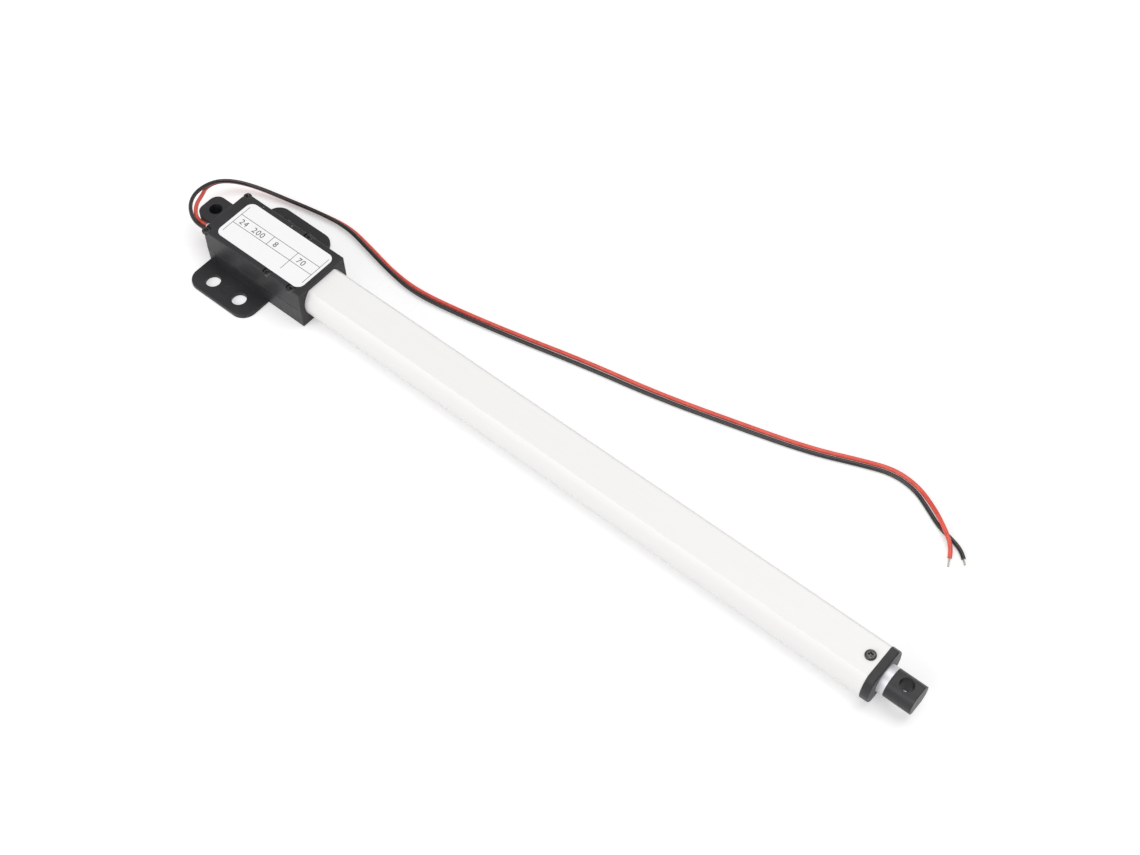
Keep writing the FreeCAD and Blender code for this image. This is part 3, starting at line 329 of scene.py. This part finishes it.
def paper():
    """White printed film with a barely mottled surface."""
    shader = Shader("label_film", (0.92, 0.92, 0.92), 0.45)
    mottle = shader.noise(1.5, 4.0)
    shader.color(shader.tone(mottle, (0.905, 0.905, 0.91), (0.93, 0.93, 0.93)))
    shader.rough(mottle, 0.40, 0.52)
    shader.bump(shader.noise(0.25, 2.0), 0.03, 0.3)
    return shader.material


def ink():
    """Dark print, a little uneven."""
    shader = Shader("label_ink", (0.05, 0.05, 0.055), 0.6)
    shader.color(shader.tone(shader.noise(2.5, 3.0), (0.025, 0.025, 0.03), (0.12, 0.12, 0.13)))
    return shader.material


def glue():
    """Milky glue with bubbles."""
    shader = Shader("sealant", (0.72, 0.62, 0.60), 0.22)
    shader.set("Subsurface Weight", 0.3)
    shader.set("Subsurface Radius", (0.0012, 0.0007, 0.0006))
    cloud = shader.noise(1.1, 4.0)
    shader.color(shader.tone(cloud, (0.52, 0.40, 0.38), (0.84, 0.77, 0.75)))
    shader.rough(cloud, 0.15, 0.35)
    shader.bump(shader.noise(1.8, 3.0), 0.12, 0.6)
    return shader.material


def laminate():
    """Green board lacquer with bands like tracks under it."""
    shader = Shader("board_laminate", (0.02, 0.13, 0.06), 0.35)
    wave = shader.add("TexWave", bands_direction="Z")
    wave.inputs["Scale"].default_value = 0.35
    shader.link(shader.place(), wave.inputs["Vector"])
    bands = shader.tone(wave.outputs["Fac"], (0.015, 0.11, 0.05), (0.03, 0.19, 0.08), 0.4, 0.6)
    shader.color(bands)
    shader.rough(shader.noise(0.8), 0.3, 0.4)
    return shader.material


black = black_plastic("black_plastic")
flat_black = black_plastic("black_plastic_flat", False)
tube_coat = satin_tube()
rod_metal = satin_metal()
steel = plain_metal("gear_steel", (0.42, 0.42, 0.43), (0.58, 0.58, 0.59), 0.35)
polished = plain_metal("bearing_steel", (0.68, 0.68, 0.70), (0.80, 0.80, 0.82), 0.14,
                       scale=1.0, height=0.001)
drawn = plain_metal("motor_steel", (0.55, 0.55, 0.56), (0.70, 0.70, 0.71), 0.30, (0.1, 1, 1))
screw_steel = plain_metal("screw_steel", (0.50, 0.50, 0.51), (0.66, 0.66, 0.67), 0.28,
                          (4, 1, 1), scale=0.6, height=0.05)
brass = plain_metal("plate_brass", (0.62, 0.44, 0.18), (0.80, 0.62, 0.30), 0.30)
gear_brass = plain_metal("gear_brass", (0.66, 0.48, 0.20), (0.84, 0.66, 0.32), 0.26)
white_plastic = plain_plastic("white_plastic", (0.70, 0.69, 0.64), (0.80, 0.79, 0.74), 0.45)
switch_plastic = plain_plastic("switch_plastic", (0.02, 0.02, 0.02), (0.04, 0.04, 0.04), 0.45)
seal_rubber = plain_plastic("seal_rubber", (0.012, 0.012, 0.012), (0.026, 0.026, 0.026), 0.6)
red = insulation("red_insulation", (0.66, 0.055, 0.035), (0.82, 0.105, 0.062), 0.3, 0.42)
dark = insulation("black_insulation", (0.012, 0.010, 0.010), (0.024, 0.020, 0.020), 0.2, 0.3)
tinned = plain_metal("tinned_copper", (0.52, 0.48, 0.43), (0.72, 0.69, 0.65), 0.34, scale=6.0)


def black_screw_metal():
    """Blackened screws with a little bare metal on their edges."""
    shader = Shader("black_screw", (0.08, 0.078, 0.076), 0.22, 0.7)
    worn = shader.noise(1.2, 2.0)
    shader.color(shader.tone(worn, (0.055, 0.053, 0.052), (0.11, 0.106, 0.102), 0.4, 0.7))
    shader.rough(worn, 0.18, 0.28)
    shader.bump(shader.noise(3.0, 2.0), 0.006, 0.3)
    return shader.material


black_screw = black_screw_metal()

MATERIAL_OF = {
    "housing_lower": black, "housing_cover": black, "front_cap": black, "rod_end": black,
    "outer_tube": tube_coat, "rod_tube": rod_metal, "rod_seal": seal_rubber, "label": paper(),
    "drive_nut": white_plastic, "motor_end_cap": white_plastic, "lead_screw": screw_steel,
    "motor_pinion": gear_brass, "first_gear": steel, "second_gear": steel, "third_gear": steel,
    "output_gear": steel, "gear_arbor": steel, "motor_shaft": steel, "gear_plate_rear": brass,
    "gear_plate_front": brass, "gear_pillars": brass, "motor_terminals": brass, "bearing_cage": brass,
    "motor_can": drawn, "bearing_outer_ring": polished, "bearing_inner_ring": polished,
    "bearing_balls": polished, "limit_board": laminate(), "limit_switch_rear": switch_plastic,
    "limit_switch_front": switch_plastic, "exit_sealant": glue(), "cover_screws": black_screw,
    "cap_screw": black_screw, "red_wire": red, "black_wire": dark, "red_wire_tip": tinned,
    "black_wire_tip": tinned,
}
for node_name, item in NODES.items():
    item.data.materials.clear()
    item.data.materials.append(MATERIAL_OF[node_name])


# The two wires: the same routes as the solids, in millimetres
BLACK_ROUTE = [
    (3.1, -7.0, 3.8), (-0.8, -7.35, 3.8), (-5.2, -5.8, 3.2), (-9.6, -2.6, 2.3),
    (-12.55, 1.93, 1.42), (-13.57, 7.35, 0.09), (-12.77, 12.35, -1.31),
    (-9.36, 16.69, -2.94), (-3.01, 20.16, -4.52), (6.55, 22.8, -5.45),
    (18.5, 25.4, -5.6), (29.5, 26.7, -5.7), (40.5, 24.45, -5.85), (52.5, 21.9, -5.95),
    (64.0, 20.7, -6.3),
    (80.0, 23.3, -6.5), (100.0, 27.5, -6.75), (122.0, 32.75, -6.85), (146.0, 37.4, -6.85),
    (170.0, 43.8, -6.85), (192.0, 50.0, -6.85), (207.0, 56.5, -6.85), (215.5, 59.6, -6.85),
    (223.5, 59.0, -6.85), (230.0, 55.8, -6.85), (235.5, 52.9, -6.85), (241.0, 51.6, -6.85),
    (244.8, 50.2, -6.85), (246.6, 48.4, -6.85),
]
RED_ROUTE = [
    (3.1, -5.6, 3.3), (-0.9, -5.95, 3.1), (-5.0, -4.55, 2.5), (-8.6, -0.9, 1.9),
    (-11.26, 3.84, 0.08), (-14.59, 8.58, -2.21), (-13.32, 13.0, -2.55),
    (-9.88, 17.33, -4.14), (-3.53, 20.78, -5.69), (6.4, 23.6, -6.75),
    (18.3, 26.2, -6.85), (29.6, 27.85, -6.85), (40.9, 25.75, -6.85), (52.8, 23.15, -6.85),
    (64.0, 22.5, -6.85),
    (79.8, 25.0, -6.85), (99.7, 29.25, -6.85), (121.7, 34.55, -6.85), (145.7, 39.0, -6.75),
    (169.65, 45.3, -6.6), (191.55, 51.35, -6.45), (206.5, 57.7, -6.3), (215.3, 60.85, -6.2),
    (223.8, 60.2, -6.2), (230.75, 57.0, -6.0), (235.0, 54.1, -5.2), (239.6, 50.8, -5.2),
    (242.2, 48.7, -6.5), (243.4, 46.2, -6.85),
]


WIRE_RADIUS = 0.65
STRANDS = 7  # six round one
STRAND_RADIUS = 0.1
STRAND_CIRCLE = 0.19
STRAND_TWIST = 2.4  # radians over the bare length
STRAND_SPREAD = 0.12
STRAND_UNEVEN = 0.06
STRAND_STEPS = 8


def wire_curve(name, route, material):
    """The insulation, along the solid's spline."""
    curve = bpy.data.curves.new(name, "CURVE")
    curve.dimensions = "3D"
    spline = curve.splines.new("NURBS")
    spline.points.add(len(route) - 1)
    for point, place in zip(spline.points, route):
        point.co = (*mm(*place), 1)
    spline.order_u = 3
    spline.use_endpoint_u = True
    spline.resolution_u = 14
    curve.bevel_depth = WIRE_RADIUS * MM
    curve.bevel_resolution = 5
    curve.use_fill_caps = True
    return add_object(name, curve, material)


def bare_strands(name, route, length):
    """Twisted tinned strands that stick out of the insulation."""
    start = mm(*route[-1])
    along = (start - mm(*route[-2])).normalized()
    across = along.cross(Vector((0, 0, 1))).normalized()
    other = across.cross(along)

    def build(bm):
        for number in range(STRANDS):
            offset = 0 if number == STRANDS - 1 else STRAND_CIRCLE
            points = []
            reach = length * (1 - STRAND_UNEVEN * (number % 3))
            for step in range(STRAND_STEPS + 1):
                share = step / STRAND_STEPS
                angle = number * math.pi / 3 + share * STRAND_TWIST
                side = across * math.cos(angle) + other * math.sin(angle)
                spread = offset * MM * (1 + STRAND_SPREAD * share)
                ahead = share * reach * MM - 0.3 * MM * (1 - share)
                points.append(start + along * ahead + side * spread)
            tube_into(bm, points, STRAND_RADIUS * MM, 8)

    return add_object(name, mesh_of(name, build), tinned)


for node_name, route, material, length, tip_length in (
    ("red_wire", RED_ROUTE, red, 0.3006, 2.8),
    ("black_wire", BLACK_ROUTE, dark, 0.3014, 2.1),
):
    strands = bare_strands(node_name + "_strands", route, tip_length)
    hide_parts(node_name + "_tip")
    lead = wire_curve(node_name + "_lead", route, material)
    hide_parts(node_name)


# Screws with a cross recess
EDGE_STEPS = 6
QUARTER_TURN = math.pi / 2


def head_profile(radius, height, shank, length, dome):
    """Outline of a screw with a head whose edge is rounded by dome."""
    profile = [(0, -length), (shank, -length + 0.3), (shank, 0), (radius * 0.96, 0), (radius, 0.08)]
    for step in range(EDGE_STEPS + 1):
        angle = step / EDGE_STEPS * QUARTER_TURN
        profile.append((radius - dome + dome * math.cos(angle),
                        height - dome + dome * math.sin(angle)))
    profile.append((0, height + 0.02))
    return profile


def cross_into(bm, recess, height):
    """The tapered cross that the recess is cut with."""
    bottom, top = (height - recess * 0.62, 0.42), (height + 0.3, 1.12)
    for quarter in range(2):
        turned = Matrix.Rotation(quarter * QUARTER_TURN, 4, "Z")
        wide, narrow = recess, recess * 0.34
        corners = []
        for level, share in (bottom, top):
            for x, y in ((-1, -1), (1, -1), (1, 1), (-1, 1)):
                local = Vector((x * wide * share, y * narrow * (0.6 + 0.4 * share), level)) * MM
                corners.append(bm.verts.new(turned @ local))
        low, high = corners[:4], corners[4:]
        bm.faces.new(low[::-1])
        bm.faces.new(high)
        for side in range(4):
            after = (side + 1) % 4
            bm.faces.new((low[side], low[after], high[after], high[side]))


def screw_mesh(name, places, radius, height, shank, length, recess, dome):
    """Screws that stand upright; a place is the underside of a head, with a turn."""
    bm_all = bmesh.new()
    profile = head_profile(radius, height, shank, length, dome)
    for place, angle in places:
        item = link_object("head", mesh_of(
            "head", lambda bm: lathe(bm, profile, 48, Matrix.Scale(MM, 4))))
        tool = link_object("tool", mesh_of(
            "tool", lambda bm: cross_into(bm, recess, height), False))
        cut = item.modifiers.new("recess", "BOOLEAN")
        cut.operation = "DIFFERENCE"
        cut.solver = "EXACT"
        cut.use_self = True
        cut.object = tool
        bpy.context.view_layer.update()
        finished = item.evaluated_get(bpy.context.evaluated_depsgraph_get()).to_mesh()
        part = bmesh.new()
        part.from_mesh(finished)
        turned = Matrix.Rotation(math.radians(angle), 4, "Z")
        part.transform(Matrix.Translation(mm(*place)) @ turned)
        kept = bpy.data.meshes.new("kept")
        part.to_mesh(kept)
        bm_all.from_mesh(kept)
        part.free()
        bpy.data.objects.remove(item)
        bpy.data.objects.remove(tool)
        bpy.data.meshes.remove(kept)
    mesh = bpy.data.meshes.new(name)
    bm_all.to_mesh(mesh)
    bm_all.free()
    for polygon in mesh.polygons:
        polygon.use_smooth = True
    mesh.set_sharp_from_angle(angle=math.radians(35))
    return mesh


SEAT = 6.25
COVER_SCREWS = [
    ((5.4, 8.95, SEAT), 20), ((5.4, -8.95, SEAT), 55), ((31.8, 8.95, SEAT), 5),
    ((31.8, -8.95, SEAT), 38), ((41.7, -8.95, SEAT), 12),
]
CAP_SCREW = [((246.1, 0, 5.8), 30)]
screws = add_object("cover_screw_set", screw_mesh(
    "cover_screw_set", COVER_SCREWS, radius=1.4, height=0.9, shank=0.75, length=8.0,
    recess=0.78, dome=0.3), black_screw)
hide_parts("cover_screws")
cap_screw = add_object("cap_screw_head", screw_mesh(
    "cap_screw_head", CAP_SCREW, radius=1.65, height=0.75, shank=0.95, length=1.2,
    recess=0.85, dome=0.5), black_screw)
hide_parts("cap_screw")


# Plastic round the cover screws, so that the walls stay closed there
HOUSING_START = 4.4
REAR_CORNER = 1.4
HALF_WIDTH = 10.0
WALL_LEAN = 0.25
PARTING = 0.5  # below the axis
COVER_HEIGHT = 8.0
WALL_LOW = -0.36
WALL_HIGH = SEAT - 0.003
SKIN_OUT = 0.006
SKIN_IN = -0.06
SKIN_REACH = 0.68
SLEEVE_RADIUS = 0.84
SLEEVE_FOOT = -0.45
CORNER_STEPS = 24


def wall_y(z):
    """Half width of the cover at a height; its side walls lean in."""
    return HALF_WIDTH - WALL_LEAN * (z + PARTING) / COVER_HEIGHT


def wall_outline(x, z):
    """Points and outward directions on the cover's wall beside a screw."""
    if x > 10:  # on the straight side, away from the rear corner
        return [((x + step, wall_y(z)), (0, 1)) for step in (-SKIN_REACH, SKIN_REACH)]
    centre_x = HOUSING_START + REAR_CORNER
    centre_y = wall_y(z) - REAR_CORNER
    outline = [((HOUSING_START, 8.25), (-1, 0))]
    for step in range(CORNER_STEPS + 1):
        angle = math.pi * (1 - step / (2 * CORNER_STEPS))
        out = (math.cos(angle), math.sin(angle))
        outline.append(((centre_x + REAR_CORNER * out[0], centre_y + REAR_CORNER * out[1]), out))
    outline.append(((6.2, wall_y(z)), (0, 1)))
    return outline


def wall_facing(bm, x, side):
    """A thin closed skin on the wall where a screw's hole comes near it."""
    rings = []
    for z in (WALL_LOW, WALL_HIGH):
        for offset in (SKIN_OUT, SKIN_IN):
            rings.append([bm.verts.new(mm(px + offset * ox, side * (py + offset * oy), z))
                          for (px, py), (ox, oy) in wall_outline(x, z)])
    outer_low, inner_low, outer_high, inner_high = rings
    last = len(outer_low) - 1
    for at in range(last):
        for low, high in ((outer_low, outer_high), (inner_low, inner_high),
                          (outer_low, inner_low), (outer_high, inner_high)):
            bm.faces.new((low[at], low[at + 1], high[at + 1], high[at]))
    for at in (0, last):
        bm.faces.new((outer_low[at], inner_low[at], inner_high[at], outer_high[at]))


def sleeves(bm):
    """A plug round each screw and the skin over it."""
    for (x, y, seat), angle in COVER_SCREWS:
        profile = [(0, SLEEVE_FOOT), (SLEEVE_RADIUS, SLEEVE_FOOT),
                   (SLEEVE_RADIUS, seat - 0.01), (0, seat - 0.01)]
        lathe(bm, profile, 40, Matrix.Translation(mm(x, y, 0)) @ Matrix.Scale(MM, 4))
        wall_facing(bm, x, math.copysign(1, y))


sleeve_set = add_object("screw_sleeves", mesh_of("screw_sleeves", sleeves, False), flat_black)


# Label print: ruled lines and plain ratings in figures
LABEL_TOP = 7.47
INK = ink()
RULE_HALF_WIDTH = 0.09
RULES = [
    (9.6, -5.8, 9.6, 5.9), (43.05, -5.4, 43.05, 6.2), (9.6, 2.3, 43.05, 2.3),
    (9.6, -1.5, 43.05, -1.5), (23.95, -1.5, 23.95, 2.3), (34.0, -5.4, 34.0, 2.3),
]
FIGURES = (("24", 11.2, -0.75), ("200", 16.6, -0.75), ("8", 25.6, -0.75), ("70", 35.6, -0.75))
FIGURE_SIZE = 2.9


def ruled(bm):
    """A flat bar for each rule, from x, y to x, y."""
    for x_low, y_low, x_high, y_high in RULES:
        box_into(bm, mm(x_low - RULE_HALF_WIDTH, y_low - RULE_HALF_WIDTH, LABEL_TOP - 0.02),
                 mm(x_high + RULE_HALF_WIDTH, y_high + RULE_HALF_WIDTH, LABEL_TOP + 0.008))


label_lines = add_object("label_lines", mesh_of("label_lines", ruled, False), INK)
for number, (words, x, y) in enumerate(FIGURES):
    text = bpy.data.curves.new("label_figure_%d" % number, "FONT")
    text.body = words
    text.size = FIGURE_SIZE * MM
    text.extrude = 0.006 * MM
    text.space_character = 1.15
    text.materials.append(INK)
    figure = link_object(text.name, text)
    figure.location = mm(x, y, LABEL_TOP + 0.004)
    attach(figure, "base")


# Glue that seals the wires' way out
def glue_mound(bm):
    """A lumpy ball, flattened where it meets the wall."""
    rng = random.Random(4)
    bmesh.ops.create_icosphere(bm, subdivisions=4, radius=1)
    phases = [rng.uniform(0, 6) for number in range(6)]
    for vert in bm.verts:
        p = vert.co
        swell = 1 + 0.10 * math.sin(3 * p.y + phases[0]) * math.sin(4 * p.z + phases[1])
        swell += 0.06 * math.sin(7 * p.z + phases[2]) + 0.05 * math.sin(6 * p.y + phases[3])
        x = 4.0 + min(p.x, 0.25) * 1.5 * swell
        vert.co = mm(x, -6.5 + p.y * 1.7 * swell, 4.35 + p.z * 1.9 * swell)


mound = add_object("exit_glue", mesh_of("exit_glue", glue_mound), MATERIAL_OF["exit_sealant"])
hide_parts("exit_sealant")


# Floor, lamps and background
FLOOR_TONE = 0.80
FLOOR_GLOW = 0.24  # seen by the camera, in gloss and through clear pieces
NEAR_LIFT, FAR_LIFT = 0.10, 0.6  # added for the camera near the object and far away
LIFT_START, LIFT_END = 0.7, 2.2  # metres
FLOOR_HALF_SIZE = 6
FLOOR_HEIGHT = -7.52


def floor_material():
    """Pale floor that keeps shadows and stays white to the horizon."""
    material = bpy.data.materials.new("floor")
    material.use_nodes = True
    tree = material.node_tree
    tree.nodes.clear()

    def node(kind, operation=None):
        made = tree.nodes.new("ShaderNode" + kind)
        if operation:
            made.operation = operation
        return made

    output = node("OutputMaterial")
    diffuse = node("BsdfDiffuse")
    diffuse.inputs["Color"].default_value = (FLOOR_TONE, FLOOR_TONE, FLOOR_TONE, 1)
    glow = node("Emission")
    total = node("AddShader")
    rays = node("LightPath")
    seen = node("Math", "MAXIMUM")
    any_ray = node("Math", "MAXIMUM")
    scaled = node("Math", "MULTIPLY")
    scaled.inputs[1].default_value = FLOOR_GLOW
    place = node("TexCoord")
    reach = node("VectorMath", "LENGTH")
    far = node("MapRange")
    far.interpolation_type = "SMOOTHSTEP"
    for socket, value in (("From Min", LIFT_START), ("From Max", LIFT_END),
                          ("To Min", NEAR_LIFT), ("To Max", FAR_LIFT)):
        far.inputs[socket].default_value = value
    lift = node("Math", "MULTIPLY_ADD")
    for start, end in (
        (place.outputs["Object"], reach.inputs[0]),
        (reach.outputs["Value"], far.inputs["Value"]),
        (rays.outputs["Is Camera Ray"], seen.inputs[0]),
        (rays.outputs["Is Glossy Ray"], seen.inputs[1]),
        (seen.outputs[0], any_ray.inputs[0]),
        (rays.outputs["Is Transmission Ray"], any_ray.inputs[1]),
        (any_ray.outputs[0], scaled.inputs[0]),
        (rays.outputs["Is Camera Ray"], lift.inputs[0]),
        (far.outputs["Result"], lift.inputs[1]),
        (scaled.outputs[0], lift.inputs[2]),
        (lift.outputs[0], glow.inputs["Strength"]),
        (diffuse.outputs[0], total.inputs[0]),
        (glow.outputs[0], total.inputs[1]),
        (total.outputs[0], output.inputs["Surface"]),
    ):
        tree.links.new(start, end)
    return material


floor_mesh = mesh_of("floor", lambda bm: bmesh.ops.create_grid(
    bm, x_segments=1, y_segments=1, size=FLOOR_HALF_SIZE,
    matrix=Matrix.Translation(mm(120, 0, FLOOR_HEIGHT))))
floor_mesh.materials.append(floor_material())
floor = link_object("floor", floor_mesh)


def lamp(name, place, aim, width, height, power):
    """A softbox at place that faces aim."""
    data = bpy.data.lights.new(name, "AREA")
    data.shape = "RECTANGLE"
    data.size = width
    data.size_y = height
    data.energy = power
    item = link_object(name, data)
    item.location = place
    item.rotation_euler = (Vector(place) - Vector(aim)).to_track_quat("Z", "Y").to_euler()


CENTRE = (0.12, 0.0, 0.0)
SURROUND = 0.50  # strength of the white world, save for the camera
lamp("side_softbox", (-0.15, -1.35, 0.85), CENTRE, 1.4, 0.9, 11.2)
lamp("top_softbox", (0.25, 0.35, 1.5), CENTRE, 1.2, 1.2, 9.8)

world = bpy.data.worlds.new("studio")
bpy.context.scene.world = world
world.use_nodes = True
tree = world.node_tree
surround = tree.nodes["Background"]
surround.inputs["Color"].default_value = (1, 1, 1, 1)
rays = tree.nodes.new("ShaderNodeLightPath")
seen = tree.nodes.new("ShaderNodeMapRange")
seen.inputs["To Min"].default_value = SURROUND
seen.inputs["To Max"].default_value = 1.0
tree.links.new(rays.outputs["Is Camera Ray"], seen.inputs["Value"])
tree.links.new(seen.outputs["Result"], surround.inputs["Strength"])
bpy.context.scene.view_settings.view_transform = "Standard"
